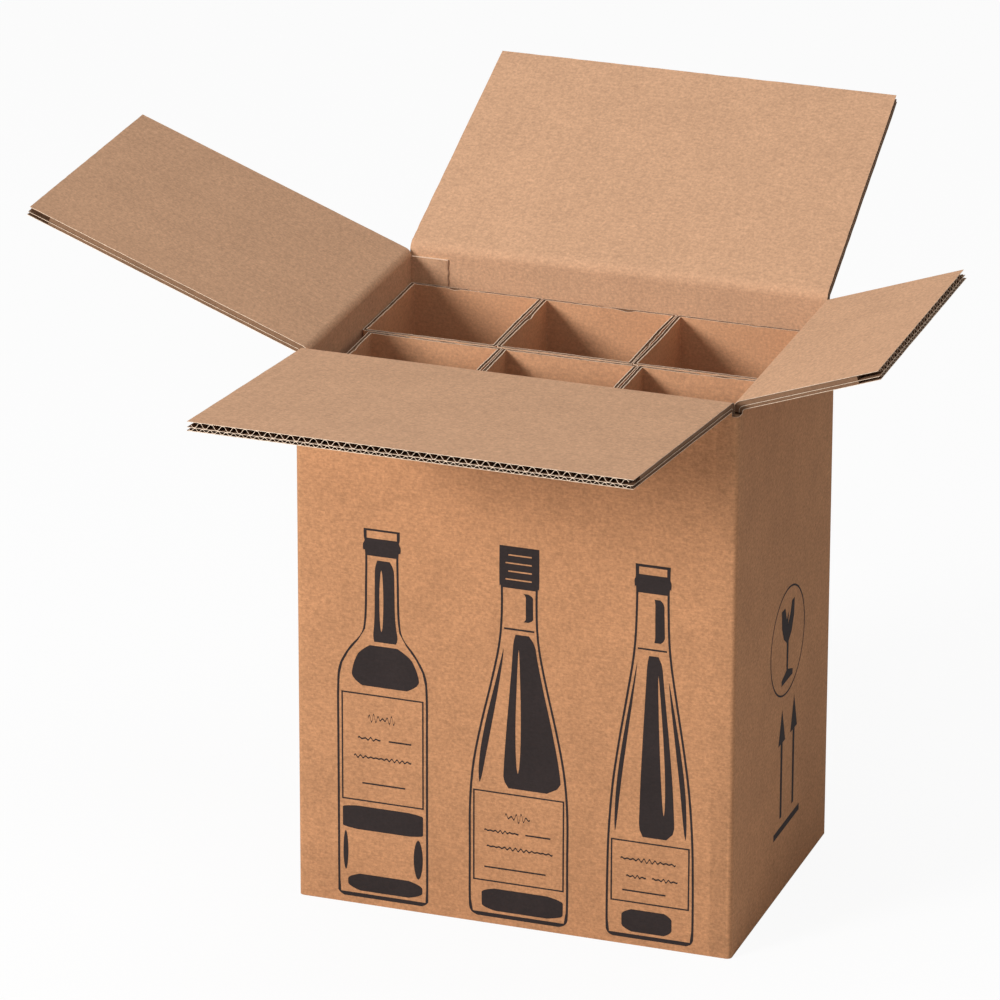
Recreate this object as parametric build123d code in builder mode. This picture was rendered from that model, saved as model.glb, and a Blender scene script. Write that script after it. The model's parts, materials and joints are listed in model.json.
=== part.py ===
from build123d import *

import os
from math import cos, radians, sin, tan

# Shipping carton for six standing bottles: a double-wall carton whose four top flaps stand
# open, and six folded single-wall sleeves that stand in it in two rows of three.
#
# Millimetres.  +X runs along the wide front, +Y from the front wall to the back wall, +Z up.
# The origin is the centre of the base, on the surface that the carton stands on.

# ---- double-wall board: three liners with a coarse and a fine fluted layer between them ----
liner = 0.3
medium = 0.3
coarse_height = 3.5
coarse_pitch = 7.95
fine_height = 2.1
fine_pitch = 5.45
flute_crest = 0.35  # half the flat top of a flute
board = 3 * liner + coarse_height + fine_height

# ---- carton ----
inner_length = 305.0
inner_width = 212.0
inner_height = 377.0  # from the floor to the closed side flaps
layer_gap = 0.3  # between the folded layers of the floor
edge_softening = 2.0  # on the upright outside edges
lap_width = 27.0  # glued lap inside the back left corner
lap_thickness = 2.0  # the lap is crushed flat by its glue press

# ---- floor flaps, folded in: the sides first, then the back, then the front outermost;
# the side ones are as long as the top's ----
floor_long_trim = 9.0  # how much less than the carton's width the front and back ones measure
floor_clearance = 0.4  # from a floor flap's side edges to the walls

# ---- top flaps: lengths from the wall's outside face when closed ----
left_flap_length = 213.5
side_flap_gap = 3.0  # between the left and the right flap when both are closed
long_flap_clearance = 0.4  # from the closed front flap's free edge to the back wall
back_flap_taper = 10.0  # how far its right edge draws in towards the free edge
long_wall_slot = 4.5  # corner slot, measured along the front and back walls
short_wall_slot = 8.5  # corner slot, measured along the side walls
slot_floor_drop = 2.6  # from the side creases down to the slot's bottom
slot_clearance = 0.2  # a flap is this much narrower than its crease, at each end
closed_gap = 0.15  # between closed flaps that lie on each other

# ---- creases: where the fold turns, how far the flaps hang out, how they stand at rest ----
side_pivot_depth = 0.0  # below the outside face of the board
front_pivot_depth = 3.1
back_pivot_depth = 5.4
side_hang = 85.0  # degrees below level at the fully open stop
front_hang = 60.0
back_hang = 45.0
front_rest = 6.5  # degrees above level as the flap stands open
back_rest = 22.5
left_rest = 21.0
right_rest = 19.5
mitre = 44.5  # inner bevel of the wall and of the flap at a crease
bevel_spare = 1.0  # degrees left between the outer bevels of a flap that hangs at its stop
tip_gap = 0.1  # each bevelled tip stops this far short of the fold line
straight_run = 1.0  # plain wall left under the deepest bevel where the corner slots start
root_depth = 14.0  # board beside a crease that has no open flutes, past its bevels
flute_margin = 1.2  # solid board left at a flap's side edges

# ---- sleeves ----
sleeve_board = 3.0
sleeve_liner = 0.45
sleeve_headroom = 11.9  # from the sleeves to the closed side flaps
row_slack = 8.0  # what three sleeves leave of the inner length
column_slack = 3.9  # what two rows and their gaps leave of the inner width, at the front
sleeve_seam = 0.6  # slit where the folded strip's ends meet
channel_depth = 2.5  # open flute along a sleeve's cut edges
stand_gap = 0.1  # between the floor and a sleeve
row_gap = 0.4
wall_gap = 0.3
lap_clearance = 0.7
back_row_gap = 0.2  # between neighbours in the back row
front_row_gap = 0.3
front_row_shift = 5.5  # the front row stands this far to the right of the back row

# ---- worked out ----
outer_length = inner_length + 2 * board
outer_width = inner_width + 2 * board
half_length = outer_length / 2
half_width = outer_width / 2
long_flap_length = outer_width - board - long_flap_clearance
right_flap_length = outer_length - left_flap_length - side_flap_gap
floor_long_length = outer_width - floor_long_trim
floor_top = 3 * board + 2 * layer_gap
side_closed = floor_top + inner_height  # underside of the closed side flaps
front_closed = side_closed + board + closed_gap
back_closed = front_closed + board + closed_gap
side_crease = side_closed + board
slot_floor = side_crease - slot_floor_drop
sleeve_height = inner_height - stand_gap - sleeve_headroom
sleeve_length = (inner_length - row_slack) / 3
sleeve_width = (inner_width - lap_thickness - lap_clearance - row_gap - column_slack) / 2
back_row_y = inner_width / 2 - lap_thickness - lap_clearance - sleeve_width / 2
front_row_y = back_row_y - sleeve_width - row_gap
first_column_x = -inner_length / 2 + wall_gap + sleeve_length / 2


class Crease:
    """A top flap's fold: where it turns, which way it opens and how much board it takes."""

    def __init__(self, outward, reach, span, closed, depth, length, rest, hang):
        self.outward = Vector(*outward)
        self.span = span  # length of the crease between its two corner slots
        self.depth = depth
        self.height = closed + board - depth
        self.axis_point = self.outward * (reach - depth) + Vector(0, 0, self.height)
        self.along = self.outward.cross(Vector(0, 0, 1))
        self.length = length - depth
        self.rest = rest
        self.hang = hang
        # the two outer bevels share what the hanging flap leaves open
        self.outer_bevel = (90 - hang - bevel_spare) / 2

    def wall_plane(self):
        """Section through the wall: x outward and y up, from the fold line."""
        return Plane(origin=self.axis_point, x_dir=self.outward, z_dir=self.along)

    def flap_plane(self):
        """Section through the flap as it stands: x along the flap, y to its inner face."""
        angle = radians(self.rest)
        direction = self.outward * cos(angle) + Vector(0, 0, sin(angle))
        return Plane(origin=self.axis_point, x_dir=direction, z_dir=self.along)

    def edge_plane(self):
        """The flap's free edge: x along the edge, y to its inner face."""
        plane = self.flap_plane()
        return Plane(
            origin=self.axis_point + plane.x_dir * self.length,
            x_dir=self.along * -1,
            z_dir=plane.x_dir,
        )

    def face_plane(self):
        """The flap's own plane through the fold line: x along the flap, y along the fold."""
        plane = self.flap_plane()
        return Plane(origin=self.axis_point, x_dir=plane.x_dir, z_dir=plane.y_dir)

    def bevel_runs(self):
        """How far along the board the inner and the outer bevel run."""
        inner = (board - self.depth) / tan(radians(mitre))
        if self.depth == 0:
            return inner, tip_gap
        return inner, self.depth / tan(radians(self.outer_bevel))


front_crease = Crease(
    (0, -1, 0), half_width, outer_length - 2 * long_wall_slot,
    front_closed, front_pivot_depth, long_flap_length, front_rest, front_hang,
)
back_crease = Crease(
    (0, 1, 0), half_width, outer_length - 2 * long_wall_slot,
    back_closed, back_pivot_depth, long_flap_length, back_rest, back_hang,
)
left_crease = Crease(
    (-1, 0, 0), half_length, outer_width - 2 * short_wall_slot,
    side_closed, side_pivot_depth, left_flap_length, left_rest, side_hang,
)
right_crease = Crease(
    (1, 0, 0), half_length, outer_width - 2 * short_wall_slot,
    side_closed, side_pivot_depth, right_flap_length, right_rest, side_hang,
)
creases = [front_crease, back_crease, left_crease, right_crease]
wall_top_start = min(c.height - max(c.bevel_runs()) for c in creases) - straight_run


def wall_top_outline(crease):
    """Upper end of a wall, bevelled on both faces towards the fold line."""
    inner_run, outer_run = crease.bevel_runs()
    outer_lean = crease.depth / outer_run
    base = wall_top_start - crease.height
    points = [
        (crease.depth, base),
        (crease.depth, -outer_run),
        (tip_gap * outer_lean, -tip_gap),
        (-tip_gap * tan(radians(mitre)), -tip_gap),
        (crease.depth - board, -inner_run),
        (crease.depth - board, base),
    ]
    if crease.depth == 0:
        points.pop(1)
    return points


def flap_outline(crease):
    """Section of a flap from its bevelled root to its free edge."""
    inner_run, outer_run = crease.bevel_runs()
    outer_lean = crease.depth / outer_run
    points = [
        (tip_gap, -tip_gap * outer_lean),
        (outer_run, -crease.depth),
        (crease.length, -crease.depth),
        (crease.length, board - crease.depth),
        (inner_run, board - crease.depth),
        (tip_gap, tip_gap * tan(radians(mitre))),
    ]
    if crease.depth == 0:
        points.pop(1)
    return points


def flute_void(pitch, height, upward):
    """Open space on one side of a fluted layer, for one wave of it."""
    wide = pitch / 2 - flute_crest - medium / 2
    points = [(-wide, 0), (wide, 0), (flute_crest, height - medium), (-flute_crest, height - medium)]
    if upward:
        return points
    return [(x, height - y) for x, y in points]


def taper_outline(crease, span, taper):
    """Wedge that draws a flap's side edge in, from nothing at the fold line."""
    side = -span / 2
    return [(0, side), (crease.length, side), (crease.length, side + taper)]


def build_flap(crease, label, taper=0.0):
    """A top flap of double-wall board, with its flutes open at the free edge."""
    span = crease.span - 2 * slot_clearance
    fine_foot = liner - crease.depth
    coarse_foot = fine_foot + fine_height + liner
    flute_depth = crease.length - max(crease.bevel_runs()) - root_depth
    with BuildPart() as flap:
        with BuildSketch(crease.flap_plane()):
            Polygon(*flap_outline(crease), align=None)
        extrude(amount=span / 2, both=True)
        for foot, pitch, height, upward in (
            (fine_foot, fine_pitch, fine_height, True),
            (fine_foot, fine_pitch, fine_height, False),
            (coarse_foot, coarse_pitch, coarse_height, True),
            (coarse_foot, coarse_pitch, coarse_height, False),
        ):
            count = int((span - taper - 2 * flute_margin - pitch / 2) // pitch)
            shift = -pitch / 4 if upward else pitch / 4
            with BuildSketch(crease.edge_plane()):
                with Locations((taper / 2 + shift, foot)):
                    with GridLocations(pitch, 0, count, 1):
                        Polygon(*flute_void(pitch, height, upward), align=None)
            extrude(amount=-flute_depth, mode=Mode.SUBTRACT)
        if taper:
            with BuildSketch(crease.face_plane()):
                Polygon(*taper_outline(crease, span, taper), align=None)
            extrude(amount=board * 2, both=True, mode=Mode.SUBTRACT)
    flap.part.label = label
    return flap


def build_sleeve(label, centre_x, centre_y):
    """One bottle's sleeve: a strip of single-wall board folded round four corners."""
    foot = floor_top + stand_gap
    hollow_length = sleeve_length - 2 * sleeve_board
    hollow_width = sleeve_width - 2 * sleeve_board
    seam_x = centre_x + (hollow_length - sleeve_seam) / 2
    seam_y = centre_y + (sleeve_width - sleeve_board) / 2
    with BuildPart() as sleeve:
        with BuildSketch(Plane.XY.offset(foot)):
            with Locations((centre_x, centre_y)):
                Rectangle(sleeve_length, sleeve_width)
                Rectangle(hollow_length, hollow_width, mode=Mode.SUBTRACT)
            with Locations((seam_x, seam_y)):
                Rectangle(sleeve_seam, sleeve_board, mode=Mode.SUBTRACT)
        extrude(amount=sleeve_height)
        with BuildSketch(Plane.XY.offset(foot + sleeve_height)):
            with Locations((centre_x, centre_y)):
                Rectangle(sleeve_length - 2 * sleeve_liner, sleeve_width - 2 * sleeve_liner)
                Rectangle(
                    hollow_length + 2 * sleeve_liner,
                    hollow_width + 2 * sleeve_liner,
                    mode=Mode.SUBTRACT,
                )
        extrude(amount=-channel_depth, mode=Mode.SUBTRACT)
    sleeve.part.label = label
    return sleeve


# ---- carton body: four walls, the glued lap and the folded floor, one sheet ----
with BuildPart() as carton_body:
    with BuildSketch():
        Rectangle(outer_length, outer_width)
        Rectangle(inner_length, inner_width, mode=Mode.SUBTRACT)
    extrude(amount=slot_floor)
    upright_edges = carton_body.edges().filter_by(Axis.Z)
    outer_corners = upright_edges.sort_by(lambda edge: abs(edge.center().X))[-4:]
    chamfer(outer_corners, edge_softening)

    for crease in creases:
        band = crease.height - wall_top_start
        with BuildSketch(crease.wall_plane()):
            with Locations((crease.depth - board / 2, 0)):
                Rectangle(board, 2 * band)
        extrude(amount=crease.span / 2, both=True, mode=Mode.SUBTRACT)
        with BuildSketch(crease.wall_plane()):
            Polygon(*wall_top_outline(crease), align=None)
        extrude(amount=crease.span / 2, both=True)

    long_reach = inner_length - 2 * floor_clearance
    short_reach = inner_width - 2 * floor_clearance
    floor_flaps = (
        # layer counted up from the ground, centre x, centre y, size x, size y
        (0, 0, (board - half_width * 2 + floor_long_length) / 2, long_reach, floor_long_length - board),
        (1, 0, (half_width * 2 - floor_long_length - board) / 2, long_reach, floor_long_length - board),
        (2, (board - half_length * 2 + left_flap_length) / 2, 0, left_flap_length - board, short_reach),
        (2, (half_length * 2 - right_flap_length - board) / 2, 0, right_flap_length - board, short_reach),
    )
    for layer, centre_x, centre_y, size_x, size_y in floor_flaps:
        with BuildSketch(Plane.XY.offset(layer * (board + layer_gap))):
            with Locations((centre_x, centre_y)):
                Rectangle(size_x, size_y)
        extrude(amount=board)

    with BuildSketch(Plane.XY.offset(floor_top - board)):
        with Locations((lap_width / 2 - inner_length / 2, inner_width / 2 - lap_thickness / 2)):
            Rectangle(lap_width, lap_thickness)
    extrude(amount=side_crease - floor_top + board)
carton_body.part.label = "carton_body"

pieces = [
    carton_body,
    build_flap(front_crease, "front_flap"),
    build_flap(back_crease, "back_flap", taper=back_flap_taper),
    build_flap(left_crease, "left_flap"),
    build_flap(right_crease, "right_flap"),
]
for column, column_name in enumerate(("left", "middle", "right")):
    back_x = first_column_x + column * (sleeve_length + back_row_gap)
    front_x = first_column_x + front_row_shift + column * (sleeve_length + front_row_gap)
    pieces.append(build_sleeve(f"sleeve_back_{column_name}", back_x, back_row_y))
    pieces.append(build_sleeve(f"sleeve_front_{column_name}", front_x, front_row_y))

os.makedirs("parts", exist_ok=True)
for piece in pieces:
    export_step(piece.part, f"parts/{piece.part.label}.step")
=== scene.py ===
import json
import math
import random

import bpy
from mathutils import Matrix, Vector, noise


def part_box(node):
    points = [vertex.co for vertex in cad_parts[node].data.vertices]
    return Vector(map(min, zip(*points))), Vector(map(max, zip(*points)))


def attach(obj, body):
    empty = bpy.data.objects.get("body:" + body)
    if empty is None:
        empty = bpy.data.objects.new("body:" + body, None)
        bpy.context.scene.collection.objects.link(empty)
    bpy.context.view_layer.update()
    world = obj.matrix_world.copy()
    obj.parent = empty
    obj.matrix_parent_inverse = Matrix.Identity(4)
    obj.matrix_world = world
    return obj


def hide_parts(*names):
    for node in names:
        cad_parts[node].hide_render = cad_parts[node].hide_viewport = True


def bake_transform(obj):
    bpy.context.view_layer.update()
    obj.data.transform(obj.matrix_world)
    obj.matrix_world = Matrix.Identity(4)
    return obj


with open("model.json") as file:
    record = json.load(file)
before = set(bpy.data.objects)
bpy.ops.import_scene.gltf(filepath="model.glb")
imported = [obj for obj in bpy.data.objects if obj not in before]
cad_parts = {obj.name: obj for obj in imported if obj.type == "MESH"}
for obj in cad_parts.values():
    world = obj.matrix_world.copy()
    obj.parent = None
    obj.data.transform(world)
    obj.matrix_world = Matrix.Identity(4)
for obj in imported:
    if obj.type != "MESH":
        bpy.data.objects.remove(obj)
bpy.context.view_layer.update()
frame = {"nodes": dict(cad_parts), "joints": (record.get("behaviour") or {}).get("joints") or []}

bl_info = {
    "name": "Bottle Shipping Box",
    "version": (1, 0, 0),
    "blender": (4, 5, 0),
    "location": "View3D > Sidebar > Bottle Box",
    "description": "Double-wall carton with open flaps and folded sleeves for six bottles",
    "category": "Object",
}

MM = 0.001
UP = Vector((0.0, 0.0, 1.0))
BODY_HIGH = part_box("carton_body")[1]
HALF_LENGTH = BODY_HIGH.x
HALF_WIDTH = BODY_HIGH.y
ROWS = ("front", "back")
COLUMNS = ("left", "middle", "right")

# the carton's floor flaps, measured from the outside of their walls, and its glued lap
FLOOR_LONG_LENGTH = 216.0 * MM
FLOOR_LEFT_LENGTH = 213.5 * MM
FLOOR_RIGHT_LENGTH = 101.5 * MM
FLOOR_SIDE_GAP = 0.4 * MM
FLOOR_LAYER_GAP = 0.3 * MM
LAP_WIDTH = 27.0 * MM
LAP_THICKNESS = 2.0 * MM
LAP_FOOT = 21.0 * MM
LAP_TOP = 403.4 * MM
UPRIGHT_EDGE_RADIUS = 3.6 * MM
WALL_CHANNEL = 1.2 * MM

# the flaps' bends and worn edges
OUTER_BEND = 2.0 * MM
WEAR = 0.45 * MM
OPEN_FLUTES = 16.0 * MM
CORE_INSET = 0.8 * MM
FLUTE_END_MARGIN = 1.2 * MM
SHORT_CREASE_BEND = 0.7

# the sleeves' papers and cut edges
SLEEVE_LINER = 0.6 * MM
SLEEVE_CHANNEL = 1.1 * MM
SLEEVE_EDGE_ROOM = 0.9 * MM
SLEEVE_CORNER_RADIUS = 2.2 * MM
SLEEVE_BOW = 1.1 * MM

# the printed shapes lie this far off the paper, above the box's foot
INK_LIFT = 0.08 * MM
BOTTLE_FOOT = 5.0 * MM


def srgb(red, green, blue):
    """A colour as written on a swatch, 0 to 255, in the linear values that shaders take."""
    def linear(value):
        value /= 255.0
        return value / 12.92 if value <= 0.04045 else ((value + 0.055) / 1.055) ** 2.4
    return (linear(red), linear(green), linear(blue))


# ---------------------------------------------------------------- settings


class BoxBoard(bpy.types.PropertyGroup):
    """Sizes of the corrugated board."""

    liner: bpy.props.FloatProperty(
        name="Liner", description="Thickness of one flat paper of the board",
        default=0.32 * MM, unit="LENGTH", precision=5)
    coarse_height: bpy.props.FloatProperty(
        name="Coarse flute", description="Height of the inner fluted layer",
        default=3.5 * MM, unit="LENGTH", precision=5)
    coarse_pitch: bpy.props.FloatProperty(
        name="Coarse pitch", description="Length of one coarse wave",
        default=7.95 * MM, unit="LENGTH", precision=5)
    fine_pitch: bpy.props.FloatProperty(
        name="Fine pitch", description="Length of one fine wave",
        default=5.45 * MM, unit="LENGTH", precision=5)
    sleeve_board: bpy.props.FloatProperty(
        name="Sleeve board", description="Thickness of the single-wall sleeve board",
        default=3.0 * MM, unit="LENGTH", precision=5)
    slot_floor: bpy.props.FloatProperty(
        name="Slot floor", description="Height of the bottom of the corner slots",
        default=401.0 * MM, unit="LENGTH", precision=4)
    bend: bpy.props.FloatProperty(
        name="Bend", description="Run of the soft bend on the inner face of a long crease",
        default=6.5 * MM, unit="LENGTH", precision=4)


class BoxFinish(bpy.types.PropertyGroup):
    """Colours of the papers and of the ink."""

    outer_kraft: bpy.props.FloatVectorProperty(
        name="Outer paper", description="Brown paper of the carton's outside",
        subtype="COLOR", size=3, min=0, max=1, default=srgb(179, 129, 91))
    inner_kraft: bpy.props.FloatVectorProperty(
        name="Inner paper", description="Lighter paper of the carton's inside",
        subtype="COLOR", size=3, min=0, max=1, default=srgb(199, 156, 123))
    sleeve_kraft: bpy.props.FloatVectorProperty(
        name="Sleeve paper", description="Paper of the sleeves",
        subtype="COLOR", size=3, min=0, max=1, default=srgb(203, 152, 114))
    cut_paper: bpy.props.FloatVectorProperty(
        name="Cut edge", description="Pale fibre of a cut edge",
        subtype="COLOR", size=3, min=0, max=1, default=srgb(226, 202, 178))
    flute_paper: bpy.props.FloatVectorProperty(
        name="Flute paper", description="Paper of the fluted layers inside the board",
        subtype="COLOR", size=3, min=0, max=1, default=srgb(128, 96, 72))
    ink: bpy.props.FloatVectorProperty(
        name="Ink", description="Dark printing ink",
        subtype="COLOR", size=3, min=0, max=1, default=srgb(42, 34, 33))


# ---------------------------------------------------------------- materials


def new_material(name):
    material = bpy.data.materials.new(name)
    material.use_nodes = True
    nodes = material.node_tree.nodes
    shader = next(node for node in nodes if node.type == "BSDF_PRINCIPLED")
    return material, nodes, material.node_tree.links, shader


def noise_node(nodes, links, vector, scale, detail=2.0, roughness=0.5):
    node = nodes.new("ShaderNodeTexNoise")
    node.inputs["Scale"].default_value = scale
    node.inputs["Detail"].default_value = detail
    node.inputs["Roughness"].default_value = roughness
    links.new(vector, node.inputs["Vector"])
    return node.outputs["Fac"]


def remap(nodes, links, value, low, high, to_low, to_high):
    node = nodes.new("ShaderNodeMapRange")
    node.inputs["From Min"].default_value = low
    node.inputs["From Max"].default_value = high
    node.inputs["To Min"].default_value = to_low
    node.inputs["To Max"].default_value = to_high
    links.new(value, node.inputs["Value"])
    return node.outputs["Result"]


def math_node(nodes, links, operation, first, second):
    node = nodes.new("ShaderNodeMath")
    node.operation = operation
    for socket, value in zip(node.inputs, (first, second)):
        if isinstance(value, (int, float)):
            socket.default_value = value
        else:
            links.new(value, socket)
    return node.outputs[0]


def paper_material(name, colour, washboard_pitch=0.0, washboard_and_shade=0.0, mottle=0.05, speckle=0.10):
    """Kraft paper: cloudy tone, fibre specks, and faint lines where it lies on the flutes: a bump
    with painted shade in its hollows and painted highlight on its ridges.

    The lines follow the piece's UV map, whose first coordinate runs across the flutes in
    metres.
    """
    material, nodes, links, shader = new_material(name)
    coordinates = nodes.new("ShaderNodeTexCoord")
    place = coordinates.outputs["Object"]
    clouds = remap(nodes, links, noise_node(nodes, links, place, 28, 3), 0.3, 0.7, 1 - mottle, 1 + mottle)
    grain = remap(
        nodes, links, noise_node(nodes, links, place, 520, 4, 0.65), 0.25, 0.75, 1 - speckle, 1 + speckle)
    fibre_place = nodes.new("ShaderNodeMapping")
    fibre_place.inputs["Scale"].default_value = (1.0, 1.0, 5.0)
    links.new(place, fibre_place.inputs["Vector"])
    fibres = noise_node(nodes, links, fibre_place.outputs["Vector"], 190, 5, 0.7)
    fibre_tone = remap(nodes, links, fibres, 0.3, 0.7, 1 - speckle * 0.5, 1 + speckle * 0.5)
    tone = math_node(nodes, links, "MULTIPLY", clouds, grain)
    tone = math_node(nodes, links, "MULTIPLY", tone, fibre_tone)
    height = math_node(nodes, links, "MULTIPLY", noise_node(nodes, links, place, 700, 3, 0.6), 0.00006)
    if washboard_and_shade:
        across = nodes.new("ShaderNodeSeparateXYZ")
        links.new(coordinates.outputs["UV"], across.inputs["Vector"])
        turns = math_node(nodes, links, "MULTIPLY", across.outputs["X"], 2 * math.pi / washboard_pitch)
        wobble = math_node(nodes, links, "MULTIPLY", noise_node(nodes, links, place, 14, 2), 3.0)
        wave = math_node(nodes, links, "SINE", math_node(nodes, links, "ADD", turns, wobble), 0.0)
        patchy = remap(nodes, links, noise_node(nodes, links, place, 9, 2), 0.35, 0.65, 0.25, 1.0)
        wave = math_node(nodes, links, "MULTIPLY", wave, patchy)
        # painted shade and highlight: the tone follows the bump, darker in its hollows and lighter on its
        # ridges
        ridge_shade = math_node(nodes, links, "MULTIPLY", wave, washboard_and_shade * 0.25)
        ridge_shade = math_node(nodes, links, "ADD", ridge_shade, 1.0)
        tone = math_node(nodes, links, "MULTIPLY", tone, ridge_shade)
        height = math_node(
            nodes, links, "ADD", height, math_node(nodes, links, "MULTIPLY", wave, washboard_and_shade * 0.0008))
    tint = nodes.new("ShaderNodeMix")
    tint.data_type = "RGBA"
    tint.blend_type = "MULTIPLY"
    tint.inputs["Factor"].default_value = 1.0
    tint.inputs["A"].default_value = (*colour, 1.0)
    grey = nodes.new("ShaderNodeCombineColor")
    for socket in grey.inputs:
        links.new(tone, socket)
    links.new(grey.outputs["Color"], tint.inputs["B"])
    links.new(tint.outputs["Result"], shader.inputs["Base Color"])
    shader.inputs["Roughness"].default_value = 0.88
    shader.inputs["Specular IOR Level"].default_value = 0.25
    bump = nodes.new("ShaderNodeBump")
    bump.inputs["Strength"].default_value = 0.9
    bump.inputs["Distance"].default_value = 1.0
    links.new(height, bump.inputs["Height"])
    links.new(bump.outputs["Normal"], shader.inputs["Normal"])
    return material


def make_materials():
    board = bpy.context.scene.box_board
    finish = bpy.context.scene.box_finish
    return {
        # the number after the pitch sets the washboard bump and its painted shade and highlight
        "outer": paper_material(
            "outer_kraft", finish.outer_kraft, board.coarse_pitch, 0.03, mottle=0.06, speckle=0.26),
        "inner": paper_material(
            "inner_kraft", finish.inner_kraft, board.coarse_pitch, 0.05, mottle=0.035, speckle=0.22),
        "sleeve": paper_material(
            "sleeve_kraft", finish.sleeve_kraft, board.coarse_pitch * 0.9, 0.025,
            mottle=0.05, speckle=0.20),
        "cut": paper_material("cut_paper_edge", finish.cut_paper, mottle=0.10, speckle=0.22),
        "flute": paper_material("flute_paper", finish.flute_paper, mottle=0.08, speckle=0.15),
        "ink": paper_material("printing_ink", finish.ink, mottle=0.10, speckle=0.18),
    }


# ---------------------------------------------------------------- mesh helpers


def add_object(name, mesh, materials):
    mesh.name = name
    thing = bpy.data.objects.new(name, mesh)
    bpy.context.scene.collection.objects.link(thing)
    for material in materials:
        mesh.materials.append(material)
    return thing


def mesh_from(name, slab, materials, smooth_angle):
    """One object from a slab's points, faces, material numbers and UVs."""
    mesh = bpy.data.meshes.new(name)
    mesh.from_pydata(slab.points, [], slab.faces)
    layer = mesh.uv_layers.new(name="board")
    for loop in mesh.loops:
        layer.data[loop.index].uv = slab.uvs[loop.vertex_index]
    thing = add_object(name, mesh, materials)
    for polygon, number in zip(mesh.polygons, slab.materials):
        polygon.material_index = number
        polygon.use_smooth = True
    mesh.set_sharp_from_angle(angle=math.radians(smooth_angle))
    mesh.validate()
    return thing


def join(name, things):
    """Several objects as one, keeping each one's materials."""
    for thing in bpy.context.selected_objects:
        thing.select_set(False)
    for thing in things:
        thing.select_set(True)
    bpy.context.view_layer.objects.active = things[0]
    if len(things) > 1:
        bpy.ops.object.join()
    things[0].name = name
    things[0].data.name = name
    things[0].select_set(False)
    return things[0]


class Slab:
    """A closed thin block between two like grids of points, the top one outward of the other."""

    def __init__(self):
        self.points = []
        self.faces = []
        self.materials = []
        self.uvs = []

    def add(self, lower, upper, uv_rows, upper_material, lower_material, edge_material, flip=False):
        """lower and upper are rows of points; both have the same shape."""
        rows = len(lower)
        columns = len(lower[0])
        base = len(self.points)
        for grid in (lower, upper):
            for row, uv_row in zip(grid, uv_rows):
                self.points.extend(row)
                self.uvs.extend(uv_row)

        def low(row, column):
            return base + row * columns + column

        def high(row, column):
            return base + rows * columns + row * columns + column

        def face(corners, material):
            self.faces.append(tuple(reversed(corners)) if flip else tuple(corners))
            self.materials.append(material)

        for row in range(rows - 1):
            for column in range(columns - 1):
                face((high(row, column), high(row + 1, column), high(row + 1, column + 1),
                      high(row, column + 1)), upper_material)
                face((low(row, column), low(row, column + 1), low(row + 1, column + 1),
                      low(row + 1, column)), lower_material)
        for row in range(rows - 1):
            face((low(row, 0), low(row + 1, 0), high(row + 1, 0), high(row, 0)), edge_material)
            end = columns - 1
            face((low(row, end), high(row, end), high(row + 1, end), low(row + 1, end)), edge_material)
        for column in range(columns - 1):
            face((low(0, column), high(0, column), high(0, column + 1), low(0, column + 1)), edge_material)
            end = rows - 1
            face((low(end, column), low(end, column + 1), high(end, column + 1), high(end, column)),
                 edge_material)


# ---------------------------------------------------------------- folded flaps


class Fold:
    """A top flap's crease, read from the frame: where it turns and how its board lies."""

    def __init__(self, side):
        self.body = f"{side}_flap"
        joint = next(j for j in frame["joints"] if j["child"] == self.body)
        self.pivot = Vector(joint["pos_m"])
        axis = Vector(joint["axis"])
        self.outward = UP.cross(axis)
        self.along = axis
        self.rest = math.radians(180.0 - joint["range_deg"][1])
        self.direction = self.outward * math.cos(self.rest) + UP * math.sin(self.rest)
        self.inward_face = self.outward * -math.sin(self.rest) + UP * math.cos(self.rest)
        places = [v.co - self.pivot for v in frame["nodes"][self.body].data.vertices]
        heights = [p.dot(self.inward_face) for p in places]
        self.depth = -min(heights)
        self.board = max(heights) - min(heights)
        self.length = max(p.dot(self.direction) for p in places)
        root = [p.dot(self.along) for p in places if p.dot(self.direction) < self.length * 0.2]
        free = [p.dot(self.along) for p in places if p.dot(self.direction) > self.length * 0.98]
        self.root_span = (min(root), max(root))
        self.free_span = (min(free), max(free))
        # the fold line and the flap's direction in the section's outward and up coordinates
        self.fold_line = Vector((self.pivot.dot(self.outward), self.pivot.z))
        self.along_flap = Vector((math.cos(self.rest), math.sin(self.rest)))
        # where wall and flap meet rises by this much for each step inward through the board
        self.corner_rise = math.cos(self.rest) - (1 - math.sin(self.rest)) * math.tan(self.rest)

    def section(self, level, base, reach, bend, steps=14, runs=22):
        """Points outward and up along the sheet at a level above its outer face."""
        run = OUTER_BEND + (bend - OUTER_BEND) * level / self.board
        inward = level - self.depth
        corner = self.fold_line + Vector((-inward, self.corner_rise * inward))
        start = corner - Vector((0, run))
        end = corner + self.along_flap * run
        points = [Vector((corner.x, base))]
        for step in range(steps + 1):
            t = step / steps
            points.append(start * (1 - t) ** 2 + corner * 2 * t * (1 - t) + end * t * t)
        normal = Vector((-math.sin(self.rest), math.cos(self.rest)))
        tip = self.fold_line + normal * inward + self.along_flap * reach
        for step in range(1, runs + 1):
            # closer together near the bend
            points.append(end.lerp(tip, (step / runs) ** 1.6))
        return points

    def span_at(self, share):
        """The flap's two side edges, measured along the crease, at a share of its length."""
        return tuple(a + (b - a) * share for a, b in zip(self.root_span, self.free_span))

    def place(self, section_point, across):
        """A point of the section as a place in the box."""
        return self.outward * section_point.x + UP * section_point.y + self.along * across


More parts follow.
